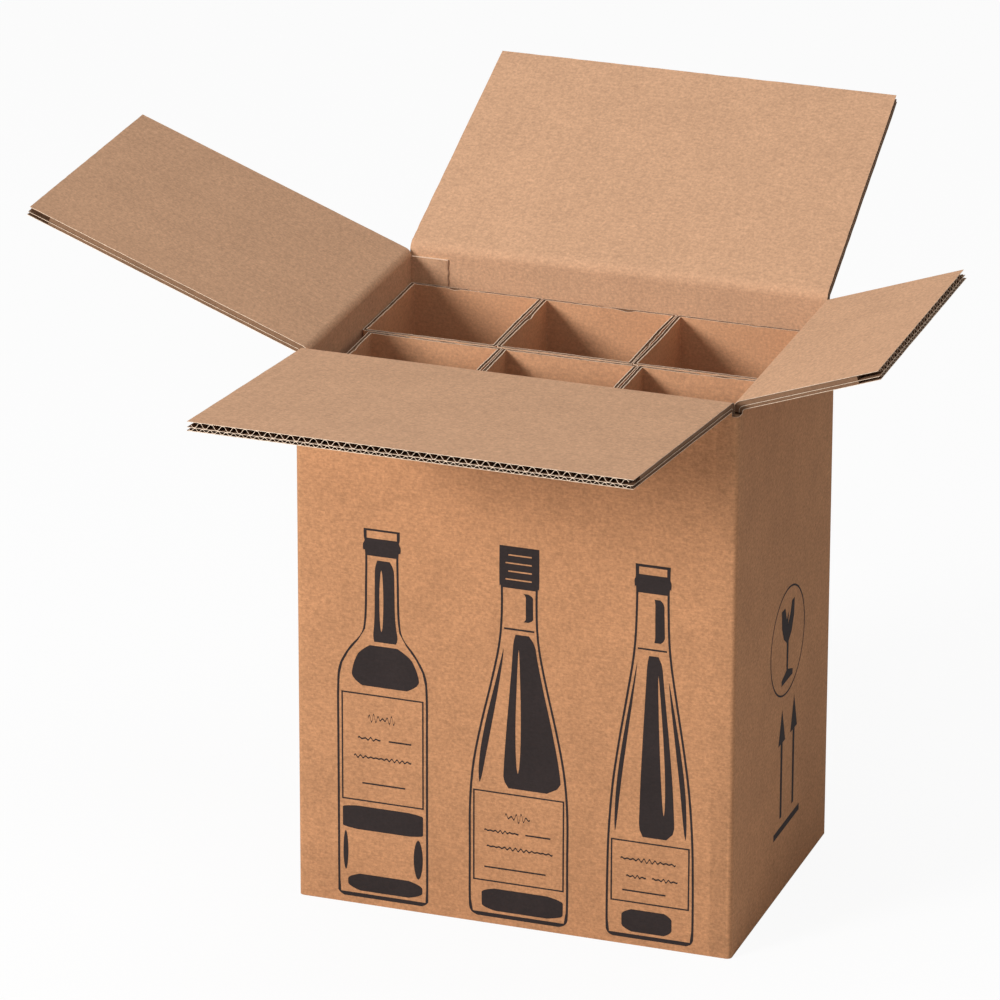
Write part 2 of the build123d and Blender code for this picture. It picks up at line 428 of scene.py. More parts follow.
def flap_sheet(slab, fold, levels, base, reach, bend, seed, papers, inset=0.0, wear=0.0, columns=40):
    """One flat layer of a flap's board, from the top of the wall over the bend to its edge.

    Levels are the layer's two faces above the board's outer face. Wear roughens its edges.
    """
    low, high = levels
    upper_material, lower_material, edge_material = papers
    lower_section = fold.section(low, base, reach, bend)
    upper_section = fold.section(high, base, reach, bend)
    lower = []
    upper = []
    uv_rows = []
    count = len(lower_section)
    travelled = 0.0
    for number in range(count):
        if number:
            travelled += (upper_section[number] - upper_section[number - 1]).length
        from_root = (upper_section[number] - fold.fold_line).dot(fold.along_flap)
        share = min(max(from_root / fold.length, 0.0), 1.0)
        left, right = fold.span_at(share)
        left += inset
        right -= inset
        lower_row = []
        upper_row = []
        uv_row = []
        for column in range(columns + 1):
            side_share = column / columns
            across = left + (right - left) * side_share
            if column in (0, columns) and wear:
                pull = abs(noise.noise(Vector((travelled * 160, side_share * 9, seed + low * 900))))
                across += pull * wear * (1 if column == 0 else -1)
            worn = Vector((0, 0, 0))
            if number == count - 1 and wear:
                pull = abs(noise.noise(Vector((across * 210, seed * 3.0 + low * 900, 1.0))))
                worn = fold.direction * -pull * wear
            lower_row.append(fold.place(lower_section[number], across) + worn)
            upper_row.append(fold.place(upper_section[number], across) + worn)
            uv_row.append((across, travelled))
        lower.append(lower_row)
        upper.append(upper_row)
        uv_rows.append(uv_row)
    slab.add(lower, upper, uv_rows, upper_material, lower_material, edge_material, flip=True)


def flute_tree():
    """Geometry Nodes: one fluted paper, waves along X, standing from zero to its height."""
    tree = bpy.data.node_groups.new("fluted_layer", "GeometryNodeTree")
    tree.interface.new_socket("Geometry", in_out="INPUT", socket_type="NodeSocketGeometry")
    for name, default in (
        ("Span", 300 * MM), ("Depth", 20 * MM), ("Pitch", 8 * MM), ("Height", 3.5 * MM),
        ("Crush", 0.3 * MM), ("Seed", 0.0),
    ):
        socket = tree.interface.new_socket(name, in_out="INPUT", socket_type="NodeSocketFloat")
        socket.default_value = default
    tree.interface.new_socket("Paper", in_out="INPUT", socket_type="NodeSocketMaterial")
    tree.interface.new_socket("Geometry", in_out="OUTPUT", socket_type="NodeSocketGeometry")
    nodes = tree.nodes
    links = tree.links
    inputs = nodes.new("NodeGroupInput")
    output = nodes.new("NodeGroupOutput")
    most_lean = 2.4  # how far a crest strays along the row, as an angle of its wave
    fullness = 1.25  # above 1 the crests are clipped flat where the liners press them

    def calculate(operation, first, second=0.0):
        return math_node(nodes, links, operation, first, second)

    grid = nodes.new("GeometryNodeMeshGrid")
    waves = calculate("DIVIDE", inputs.outputs["Span"], inputs.outputs["Pitch"])
    samples = calculate("ADD", calculate("MULTIPLY", calculate("ROUND", waves), 12.0), 1.0)
    links.new(inputs.outputs["Span"], grid.inputs["Size X"])
    links.new(inputs.outputs["Depth"], grid.inputs["Size Y"])
    links.new(samples, grid.inputs["Vertices X"])
    grid.inputs["Vertices Y"].default_value = 4
    position = nodes.new("GeometryNodeInputPosition")
    split = nodes.new("ShaderNodeSeparateXYZ")
    links.new(position.outputs["Position"], split.inputs["Vector"])
    spot = nodes.new("ShaderNodeCombineXYZ")
    links.new(split.outputs["X"], spot.inputs["X"])
    links.new(inputs.outputs["Seed"], spot.inputs["Z"])
    unevenness = nodes.new("ShaderNodeTexNoise")
    unevenness.inputs["Scale"].default_value = 60.0
    links.new(spot.outputs["Vector"], unevenness.inputs["Vector"])
    drift = calculate("SUBTRACT", unevenness.outputs["Fac"], 0.5)
    lean = calculate("MULTIPLY", drift, most_lean)
    waves_along = calculate("DIVIDE", split.outputs["X"], inputs.outputs["Pitch"])
    turns = calculate("MULTIPLY", waves_along, 2 * math.pi)
    swing = calculate("MULTIPLY", calculate("SINE", calculate("ADD", turns, lean)), fullness)
    wave = calculate("MAXIMUM", calculate("MINIMUM", swing, 1.0), -1.0)
    share = calculate("ADD", calculate("MULTIPLY", wave, 0.5), 0.5)
    lift = calculate("MULTIPLY", share, inputs.outputs["Height"])
    spread = calculate("MULTIPLY", drift, inputs.outputs["Crush"])
    offset = nodes.new("ShaderNodeCombineXYZ")
    links.new(spread, offset.inputs["X"])
    links.new(lift, offset.inputs["Z"])
    move = nodes.new("GeometryNodeSetPosition")
    links.new(grid.outputs["Mesh"], move.inputs["Geometry"])
    links.new(offset.outputs["Vector"], move.inputs["Offset"])
    real = nodes.new("GeometryNodeRealizeInstances")
    links.new(move.outputs["Geometry"], real.inputs["Geometry"])
    paint = nodes.new("GeometryNodeSetMaterial")
    links.new(real.outputs["Geometry"], paint.inputs["Geometry"])
    links.new(inputs.outputs["Paper"], paint.inputs["Material"])
    links.new(paint.outputs["Geometry"], output.inputs["Geometry"])
    return tree


def fluted_layer(name, tree, span, depth, pitch, height, seed, materials, matrix, thickness=0.3 * MM):
    """A fluted paper as a plain closed mesh, its cut ends pale."""
    blank = bpy.data.meshes.new(name + "_blank")
    maker = bpy.data.objects.new(name + "_maker", blank)
    bpy.context.scene.collection.objects.link(maker)
    modifier = maker.modifiers.new("flutes", "NODES")
    modifier.node_group = tree
    values = {
        "Span": span, "Depth": depth, "Pitch": pitch, "Height": height - thickness,
        "Crush": 0.6 * MM, "Seed": float(seed), "Paper": materials["flute"],
    }
    for item in tree.interface.items_tree:
        if item.item_type == "SOCKET" and item.in_out == "INPUT" and item.name in values:
            modifier[item.identifier] = values[item.name]
    wall = maker.modifiers.new("paper", "SOLIDIFY")
    wall.thickness = thickness
    wall.offset = 0.0
    bpy.context.view_layer.update()
    evaluated = maker.evaluated_get(bpy.context.evaluated_depsgraph_get())
    mesh = bpy.data.meshes.new_from_object(evaluated)
    bpy.data.objects.remove(maker)
    bpy.data.meshes.remove(blank)
    mesh.name = name
    mesh.materials.clear()
    mesh.materials.append(materials["flute"])
    mesh.materials.append(materials["cut"])
    for polygon in mesh.polygons:
        polygon.material_index = 1 if abs(polygon.normal.y) > 0.9 else 0
    mesh.transform(Matrix.Translation((0, -depth / 2, thickness / 2)))
    mesh.transform(matrix)
    if not mesh.uv_layers:
        mesh.uv_layers.new(name="board")
    mesh.uv_layers[0].name = "board"
    thing = bpy.data.objects.new(name, mesh)
    bpy.context.scene.collection.objects.link(thing)
    return thing


def build_flap(side, materials, tree, seed):
    """A flap with its liners, its recessed fluted core and the open flutes of its free edge."""
    board = bpy.context.scene.box_board
    fold = Fold(side)
    base = board.slot_floor
    palette = [materials["outer"], materials["inner"], materials["cut"], materials["flute"]]
    outer, inner, cut, flute = range(4)
    liner = board.liner
    inner_liner_low = fold.board - liner
    coarse_low = inner_liner_low - board.coarse_height
    middle_low = coarse_low - liner
    free = fold.length
    bend = board.bend if side in ("front", "back") else board.bend * SHORT_CREASE_BEND
    slab = Slab()
    for levels, inset, papers in (
        ((0.0, liner), 0.0, (flute, outer, cut)),
        ((middle_low, coarse_low), 0.2 * MM, (flute, flute, cut)),
        ((inner_liner_low, fold.board), 0.0, (inner, flute, cut)),
    ):
        flap_sheet(slab, fold, levels, base, free, bend, seed, papers, inset=inset, wear=WEAR)
    for levels in ((liner, middle_low), (coarse_low, inner_liner_low)):
        flap_sheet(slab, fold, levels, base, free - OPEN_FLUTES, bend, seed, (flute, flute, flute),
                   inset=CORE_INSET)
    sheet = mesh_from(f"{side}_flap_board", slab, palette, smooth_angle=35)
    low, high = fold.free_span
    span = high - low - 2 * FLUTE_END_MARGIN
    across = fold.direction.cross(fold.inward_face)
    # the fold line where it crosses the middle of the box
    root = fold.pivot - fold.along * fold.pivot.dot(fold.along)
    layers = []
    for label, foot, height, pitch in (
        ("fine", liner, middle_low - liner, board.fine_pitch),
        ("coarse", coarse_low, board.coarse_height, board.coarse_pitch),
    ):
        origin = (root + fold.direction * free + fold.inward_face * (foot - fold.depth)
                  + fold.along * ((low + high) / 2))
        place = Matrix((across, fold.direction, fold.inward_face)).transposed().to_4x4()
        place.translation = origin
        count = int(span / pitch)
        layers.append(fluted_layer(f"{side}_flap_{label}_flutes", tree, count * pitch,
                                   OPEN_FLUTES + 1 * MM, pitch, height, seed + len(layers),
                                   materials, place))
    flutes = join(f"{side}_flap_flutes", layers)
    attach(flutes, fold.body)
    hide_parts(fold.body)
    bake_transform(sheet)
    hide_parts(fold.body)


# ---------------------------------------------------------------- carton walls and floor


def rounded_loop(half_x, half_y, radius, counts, arc_steps=6):
    """Points round a rectangle with rounded corners; counts are the steps on its X and Y sides."""
    corners = ((half_x, -half_y), (half_x, half_y), (-half_x, half_y), (-half_x, -half_y))
    arcs = []
    for (x, y), turn in zip(corners, (-90, 0, 90, 180)):
        centre = Vector((x - math.copysign(radius, x), y - math.copysign(radius, y)))
        arc = []
        for step in range(arc_steps + 1):
            angle = math.radians(turn + 90 * step / arc_steps)
            arc.append(centre + Vector((math.cos(angle), math.sin(angle))) * radius)
        arcs.append(arc)
    points = []
    for number, arc in enumerate(arcs):
        following = arcs[(number + 1) % 4][0]
        steps = counts[1 - number % 2]
        points.extend(arc)
        points.extend(arc[-1].lerp(following, step / steps) for step in range(1, steps))
    return points


def ring(slab, outer, inner, levels, outer_material, inner_material, top_material, top_shift=None):
    """A closed upright wall between two like loops; top_shift lifts each point of its top."""
    count = len(outer)
    base = len(slab.points)
    travelled = 0.0
    lengths = []
    for number in range(count):
        if number:
            travelled += (outer[number] - outer[number - 1]).length
        lengths.append(travelled)
    for loop in (outer, inner):
        for level_number, level in enumerate(levels):
            for number, point in enumerate(loop):
                lift = 0.0
                if top_shift and level_number == len(levels) - 1:
                    lift = top_shift[number]
                slab.points.append((point.x, point.y, level + lift))
                slab.uvs.append((lengths[number], level))
    height = len(levels)

    def at(loop, level, number):
        return base + (loop * height + level) * count + number % count

    def face(corners, material):
        slab.faces.append(corners)
        slab.materials.append(material)

    for number in range(count):
        for level in range(height - 1):
            face((at(0, level, number), at(0, level, number + 1), at(0, level + 1, number + 1),
                  at(0, level + 1, number)), outer_material)
            face((at(1, level, number), at(1, level + 1, number), at(1, level + 1, number + 1),
                  at(1, level, number + 1)), inner_material)
        top = height - 1
        face((at(0, top, number), at(0, top, number + 1), at(1, top, number + 1), at(1, top, number)),
             top_material)
        face((at(0, 0, number), at(1, 0, number), at(1, 0, number + 1), at(0, 0, number + 1)),
             top_material)


def build_walls(materials):
    """The four walls, the glued lap and the folded floor."""
    board = bpy.context.scene.box_board
    thickness = Fold("left").board
    palette = [materials["outer"], materials["inner"], materials["cut"], materials["flute"]]
    outer, inner, cut, flute = range(4)
    slab = Slab()
    top = board.slot_floor
    liner = board.liner
    levels = [0.0, 1.2 * MM] + [top * step / 10 for step in range(1, 10)] + [top]

    def loop(inset):
        radius = max(UPRIGHT_EDGE_RADIUS - inset * 0.4, 0.8 * MM)
        return rounded_loop(HALF_LENGTH - inset, HALF_WIDTH - inset, radius, (26, 18))

    ring(slab, loop(0), loop(liner), levels, outer, flute, cut)
    ring(slab, loop(thickness - liner), loop(thickness), levels, flute, inner, cut)
    core_top = levels[:-1] + [top - WALL_CHANNEL]
    ring(slab, loop(liner), loop(thickness - liner), core_top, flute, flute, flute)
    walls = mesh_from("carton_walls", slab, palette, smooth_angle=40)
    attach(walls, "carton")
    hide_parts("carton_body")
    inner_x = HALF_LENGTH - thickness
    inner_y = HALF_WIDTH - thickness
    gap = FLOOR_SIDE_GAP
    layer = thickness + FLOOR_LAYER_GAP
    long_reach = FLOOR_LONG_LENGTH - thickness
    left_reach = FLOOR_LEFT_LENGTH - thickness
    right_reach = FLOOR_RIGHT_LENGTH - thickness
    floor = Slab()
    for level, low_x, high_x, low_y, high_y in (
        (0, gap - inner_x, inner_x - gap, -inner_y, long_reach - inner_y),
        (1, gap - inner_x, inner_x - gap, inner_y - long_reach, inner_y),
        (2, -inner_x, left_reach - inner_x, gap - inner_y, inner_y - gap),
        (2, inner_x - right_reach, inner_x, gap - inner_y, inner_y - gap),
    ):
        flat_block(floor, (low_x, low_y, level * layer), (high_x, high_y, level * layer + thickness),
                   inner, outer, cut)
    lap_board(floor, inner_x, inner_y, board.fine_pitch, inner, cut)
    bottom = mesh_from("carton_floor", floor, palette, smooth_angle=40)
    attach(bottom, "carton")
    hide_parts("carton_body")


def flat_block(slab, low, high, upper_material, lower_material, edge_material, steps=12):
    """A level block of board; its flutes run along Y for the long flaps."""
    lower = []
    upper = []
    uv_rows = []
    for row in range(steps + 1):
        x = low[0] + (high[0] - low[0]) * row / steps
        lower_row = []
        upper_row = []
        uv_row = []
        for column in range(steps + 1):
            y = low[1] + (high[1] - low[1]) * column / steps
            lower_row.append((x, y, low[2]))
            upper_row.append((x, y, high[2]))
            uv_row.append((x, y))
        lower.append(lower_row)
        upper.append(upper_row)
        uv_rows.append(uv_row)
    slab.add(lower, upper, uv_rows, upper_material, lower_material, edge_material)


def lap_board(slab, inner_x, inner_y, pitch, face_material, edge_material, steps=120):
    """The glued lap on the back wall, its free edge cut a little wavy across the flutes."""
    lower = []
    upper = []
    uv_rows = []
    corner = -inner_x
    free = corner + LAP_WIDTH
    crushed = free - 0.6 * MM  # past here the cut edge is pressed thinner
    for row in range(steps + 1):
        z = LAP_FOOT + (LAP_TOP - LAP_FOOT) * row / steps
        wave = math.sin(z * 2 * math.pi / pitch) * 0.35 * MM
        lower_row = []
        upper_row = []
        uv_row = []
        for x in (corner, corner + LAP_WIDTH / 2, free - 0.8 * MM + wave, free + wave):
            sunk = 0.6 * MM if x > crushed else 0.0
            lower_row.append((x, inner_y, z))
            upper_row.append((x, inner_y - LAP_THICKNESS + sunk, z))
            uv_row.append((x, z))
        lower.append(lower_row)
        upper.append(upper_row)
        uv_rows.append(uv_row)
    slab.add(lower, upper, uv_rows, face_material, edge_material, edge_material, flip=True)


# ---------------------------------------------------------------- sleeves


def build_sleeve(row, column, materials, seed):
    """A folded sleeve: two liners with a dark open channel between them along the top edge."""
    board = bpy.context.scene.box_board
    node = f"sleeve_{row}_{column}"
    low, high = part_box(node)
    centre = (low + high) / 2
    half_x = (high.x - low.x) / 2
    half_y = (high.y - low.y) / 2
    thickness = board.sleeve_board
    top = high.z - SLEEVE_EDGE_ROOM
    palette = [materials["sleeve"], materials["cut"], materials["flute"]]
    face_side, cut, flute = range(3)
    slab = Slab()
    levels = [low.z] + [low.z + (top - low.z) * share for share in (0.3, 0.6, 0.8, 0.9, 0.97)] + [top]
    chance = random.Random(seed)
    # each nick: quarter turns round the sleeve, the outer (0) or inner (1) paper, depth in mm
    nicks = [(chance.uniform(0, 4), chance.choice((0, 1)), chance.uniform(0.6, 2.2)) for _ in range(9)]

    def inward(along, across, half_along, half_across, wall_seed):
        """How far the wall at across is pulled in; nothing on the two walls beside it."""
        if abs(across) <= half_across * 0.9:
            return 0.0
        return bow(along / half_along, wall_seed) * (-1 if across > 0 else 1)

    def loop(inset):
        radius = max(SLEEVE_CORNER_RADIUS - inset * 0.5, 0.7 * MM)
        bowed = []
        for point in rounded_loop(half_x - inset, half_y - inset, radius, (40, 40), arc_steps=4):
            pull_x = inward(point.y, point.x, half_y, half_x, seed)
            pull_y = inward(point.x, point.y, half_x, half_y, seed + 5)
            bowed.append(Vector((centre.x + point.x + pull_x, centre.y + point.y + pull_y)))
        return bowed

    def ragged(points, face_number):
        lifts = []
        for point in points:
            spot = Vector((point.x * 260, point.y * 260, seed + face_number * 7.0))
            lift = noise.noise(spot) * 0.35 * MM
            for turn, which, size in nicks:
                if which != face_number:
                    continue
                angle = turn * 1.57
                nick = Vector((centre.x + half_x * math.cos(angle), centre.y + half_y * math.sin(angle)))
                near = (point - nick).length / (3.2 * MM)
                lift -= size * MM * math.exp(-near * near)
            lifts.append(lift)
        return lifts

    outer_loop = loop(0.15 * MM)
    outer_inner = loop(SLEEVE_LINER)
    core_inner = loop(thickness - SLEEVE_LINER)
    inner_loop = loop(thickness)
    ring(slab, outer_loop, outer_inner, levels, face_side, flute, cut, ragged(outer_loop, 0))
    ring(slab, core_inner, inner_loop, levels, flute, face_side, cut, ragged(inner_loop, 1))
    core_levels = levels[:-1] + [top - SLEEVE_CHANNEL]
    ring(slab, outer_inner, core_inner, core_levels, flute, flute, flute)
    slab.uvs = [(v, u) for u, v in slab.uvs]
    sleeve = mesh_from(f"bottle_{node}", slab, palette, smooth_angle=40)
    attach(sleeve, "carton")
    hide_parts(node)


def bow(share, seed):
    """Inward bow of a sleeve's wall along its run, none at its corners."""
    shape = max(0.0, 1 - share * share)
    return shape * (0.5 + 0.5 * noise.noise(Vector((share * 1.5, seed * 1.7, 0.3)))) * SLEEVE_BOW


# ---------------------------------------------------------------- print


class Drawing:
    """Flat ink shapes in millimetres on a face, made by one filled curve; a loop inside
    another is a window in it, and a loop inside that is ink again."""

    def __init__(self, name):
        self.curve = bpy.data.curves.new(name, "CURVE")
        self.curve.dimensions = "2D"
        self.curve.fill_mode = "BOTH"
        self.name = name

    def loop(self, points):
        spline = self.curve.splines.new("POLY")
        spline.points.add(len(points) - 1)
        for target, (x, y) in zip(spline.points, points):
            target.co = (x * MM, y * MM, 0, 1)
        spline.use_cyclic_u = True

    def box(self, low_x, low_y, high_x, high_y):
        self.loop([(low_x, low_y), (high_x, low_y), (high_x, high_y), (low_x, high_y)])

    def place(self, matrix, material):
        maker = bpy.data.objects.new(self.name + "_maker", self.curve)
        bpy.context.scene.collection.objects.link(maker)
        bpy.context.view_layer.update()
        mesh = bpy.data.meshes.new_from_object(maker)
        bpy.data.objects.remove(maker)
        mesh.materials.clear()
        mesh.transform(matrix)
        mesh.uv_layers.new(name="board")
        thing = add_object(self.name, mesh, [material])
        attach(thing, "carton")
        return thing


def smooth_side(stations, steps=8):
    """Half-widths of a bottle from its foot up, on a smooth curve through the stations."""
    ends = [stations[0]] + list(stations) + [stations[-1]]
    points = []
    for before, start, finish, after in zip(ends, ends[1:], ends[2:], ends[3:]):
        for step in range(steps):
            t = step / steps
            point = []
            for a, b, c, d in zip(before, start, finish, after):
                point.append(0.5 * (2 * b + (c - a) * t + (2 * a - 5 * b + 4 * c - d) * t * t
                                    + (3 * b - a - 3 * c + d) * t ** 3))
            points.append(tuple(point))
    points.append(stations[-1])
    return points


def width_at(side, height):
    """A bottle's half-width at a height."""
    for (r0, z0), (r1, z1) in zip(side, side[1:]):
        if z0 <= height <= z1 and z1 > z0:
            return r0 + (r1 - r0) * (height - z0) / (z1 - z0)
    return side[-1][0]


def band(side, low, high, left, right, margin=0.0, steps=28):
    """A closed loop between two shares of the half-width, that follows the bottle's side."""
    edges = []
    for share in (right, left):
        column = []
        for step in range(steps + 1):
            z = low + (high - low) * step / steps
            half = width_at(side, z) - margin
            column.append((half * share, z))
        edges.append(column)
    return edges[0] + edges[1][::-1]


def rounded(points, low, high, soften):
    """Draws a band's ends in a little, so that they look drawn by hand."""
    shaped = []
    for x, z in points:
        end = min(z - low, high - z)
        pinch = 1.0 - 0.35 * max(0.0, 1.0 - end / soften) ** 2
        shaped.append((x * pinch, z))
    return shaped


class Bottle:
    """A generic bottle, drawn as an outline with dark glass, pale gleams and a plain label."""

    line = 1.6
    glass_margin = line + 1.2  # from the outline's outer edge to the dark glass inside it

    def __init__(self, name, stations):
        self.drawing = Drawing(name)
        self.side = smooth_side(stations)
        self.drawing.loop(self.side + [(-r, z) for r, z in reversed(self.side)])

    def bare(self, low, high):
        """Bare paper inside the outline."""
        self.drawing.loop(band(self.side, low, high, -1.0, 1.0, margin=self.line))

    def dark(self, low, high, left, right, soften=9.0):
        """Dark glass between two shares of the half-width."""
        points = band(self.side, low, high, left, right, margin=self.glass_margin)
        self.drawing.loop(rounded(points, low, high, soften))

    def gleam(self, low, high, left, right):
        """A sliver that narrows to its ends: pale in dark glass, dark on bare paper."""
        points = band(self.side, low, high, left, right, margin=self.glass_margin)
        middle = (left + right) / 2
        shaped = []
        for x, z in points:
            spread = max(0.0, math.sin(math.pi * (z - low) / (high - low))) ** 0.5
            centre = middle * (width_at(self.side, z) - self.glass_margin)
            shaped.append((centre + (x - centre) * max(spread, 0.05), z))
        self.drawing.loop(shaped)

    def label(self, low, high, rows):
        """A framed label with a few rules on it."""
        half = width_at(self.side, (low + high) / 2) - self.line - 1.6
        self.drawing.box(-half, low, half, high)
        self.drawing.box(-half + 1.1, low + 1.1, half - 1.1, high - 1.1)
        for height, left, right, wave, turns in rows:
            self.rule(half * left, half * right, height, wave, turns)

    def rule(self, left, right, height, wave, turns, steps=60):
        """A written-looking rule: a stroke that waves a few times, or lies straight."""
        top = []
        bottom = []
        for step in range(steps + 1):
            t = step / steps
            fade = 0.6 + 0.4 * math.sin(t * 9.0 + height)
            z = height + wave * fade * math.sin(t * turns * 2 * math.pi)
            top.append((left + (right - left) * t, z + 0.6))
            bottom.append((left + (right - left) * t, z - 0.6))
        self.drawing.loop(top + bottom[::-1])


def build_print(materials):
    ink = materials["ink"]
    front = Matrix((
        (1, 0, 0, 0), (0, 0, -1, -HALF_WIDTH - INK_LIFT), (0, 1, 0, BOTTLE_FOOT), (0, 0, 0, 1),
    ))

    claret = Bottle("print_claret", [
        (29, 0), (33, 3), (33.5, 10), (33.5, 60), (33.5, 120), (33.4, 160), (31.5, 176), (24, 190),
        (15.5, 201), (13, 214), (12.4, 240), (12.2, 262), (13.6, 264), (13.8, 268), (12.6, 271),
        (13.2, 274), (13.2, 280)])
    claret.bare(3, 260)
    claret.dark(196, 257, -0.55, 0.95)
    claret.gleam(204, 250, -0.2, 0.1)
    claret.dark(162, 193, -0.75, 0.9)
    claret.dark(52, 70, -0.97, 0.97, 2.0)
    claret.dark(5, 18, -0.85, 0.95, 5.0)
    claret.gleam(20, 50, 0.74, 0.96)
    claret.gleam(20, 50, -0.96, -0.84)
    claret.label(74, 156, (
        (138, -0.35, 0.3, 3.2, 6), (122, -0.6, -0.05, 1.2, 4), (122, 0.15, 0.7, 0.0, 1),
        (108, -0.7, 0.7, 1.2, 11), (88, -0.5, 0.55, 0.0, 1)))
    claret.drawing.box(-11, 273, 11, 278.5)
    claret.drawing.place(Matrix.Translation((-96 * MM, 0, 0)) @ front, ink)

    burgundy = Bottle("print_burgundy", [
        (30, 0), (35, 3), (36.5, 12), (36.5, 50), (36.4, 85), (34, 115), (28.5, 145), (21, 178),
        (15.6, 205), (13.6, 226), (13.4, 250), (14.4, 253), (14.4, 281)])
    burgundy.bare(3, 250)
    burgundy.dark(100, 216, -0.35, 0.96)
    burgundy.gleam(112, 205, -0.1, 0.06)
    burgundy.gleam(102, 204, -0.97, -0.78)
    burgundy.drawing.loop(band(burgundy.side, 219, 220.4, -1.0, 1.0, margin=3.0))
    burgundy.dark(226, 247, 0.45, 0.95, 3.0)
    burgundy.dark(5, 22, -0.8, 0.97, 4.0)
    burgundy.label(27, 96, (
        (78, -0.3, 0.25, 3.6, 5), (66, -0.75, 0.0, 1.0, 7), (66, 0.15, 0.7, 0.0, 1),
        (54, -0.7, 0.75, 1.3, 12), (38, -0.75, 0.6, 0.0, 1)))
    for height in (256, 262, 268, 274):
        burgundy.drawing.box(-10 + (height % 4), height, 9, height + 1.0)
    burgundy.drawing.place(Matrix.Translation((4 * MM, 0, 0)) @ front, ink)

    hock = Bottle("print_hock", [
        (27, 0), (31, 3), (32, 12), (31.8, 50), (31, 80), (28.4, 115), (24, 148), (18.6, 182),
        (14.4, 210), (12.6, 232), (12, 262), (13, 264), (13.2, 269), (12.4, 272), (12.6, 281)])
    hock.bare(3, 260)
    hock.dark(78, 214, -0.3, 0.62)
    hock.gleam(96, 200, 0.28, 0.42)
    hock.gleam(80, 208, -0.98, -0.84)
    hock.gleam(80, 196, 0.82, 0.98)
    hock.drawing.loop(band(hock.side, 218, 219.3, -1.0, 1.0, margin=3.0))
    hock.dark(224, 256, 0.2, 0.9, 5.0)
    hock.dark(5, 22, -0.7, 0.55, 5.0)
    hock.label(27, 74, ((60, -0.75, 0.65, 1.6, 10), (47, -0.6, -0.1, 1.2, 4), (47, 0.05, 0.7, 1.2, 5),
                        (36, -0.7, 0.4, 0.0, 1)))
    hock.drawing.box(-10, 273.5, 10, 279)
    hock.drawing.place(Matrix.Translation((100 * MM, 0, 0)) @ front, ink)

    side = Matrix(((0, 0, 1, HALF_LENGTH + INK_LIFT), (1, 0, 0, 0), (0, 1, 0, 0), (0, 0, 0, 1)))
    glass = Drawing("print_fragile_sign")
    centre_y, centre_z, radius = 10.0, 190.0, 40.0
    circle = [(math.cos(a * math.pi / 36), math.sin(a * math.pi / 36)) for a in range(72)]
    for size in (radius, radius - 1.4):
        glass.loop([(centre_y + size * c, centre_z + size * s) for c, s in circle])
    bowl = [(-15, 27), (-7, 27), (-3, 17), (2, 22), (0, 12), (5, 18), (9, 27), (15, 27), (14, 14), (9, 4),
            (2.2, -1), (1.8, -22), (13, -26), (13, -30), (-13, -30), (-13, -26), (-1.8, -22), (-2.2, -1),
            (-9, 4), (-14, 14)]
    glass.loop([(centre_y + y, centre_z + z) for y, z in bowl])
    glass.place(side, ink)
    arrows = Drawing("print_this_way_up")
    for middle in (0.0, 28.0):
        arrows.loop([(middle - 2.2, 59), (middle + 2.2, 59), (middle + 2.2, 116), (middle + 8, 116),
                     (middle, 142), (middle - 8, 116), (middle - 2.2, 116)])
    arrows.box(-16, 47, 44, 52)
    arrows.place(side, ink)


# ---------------------------------------------------------------- stage


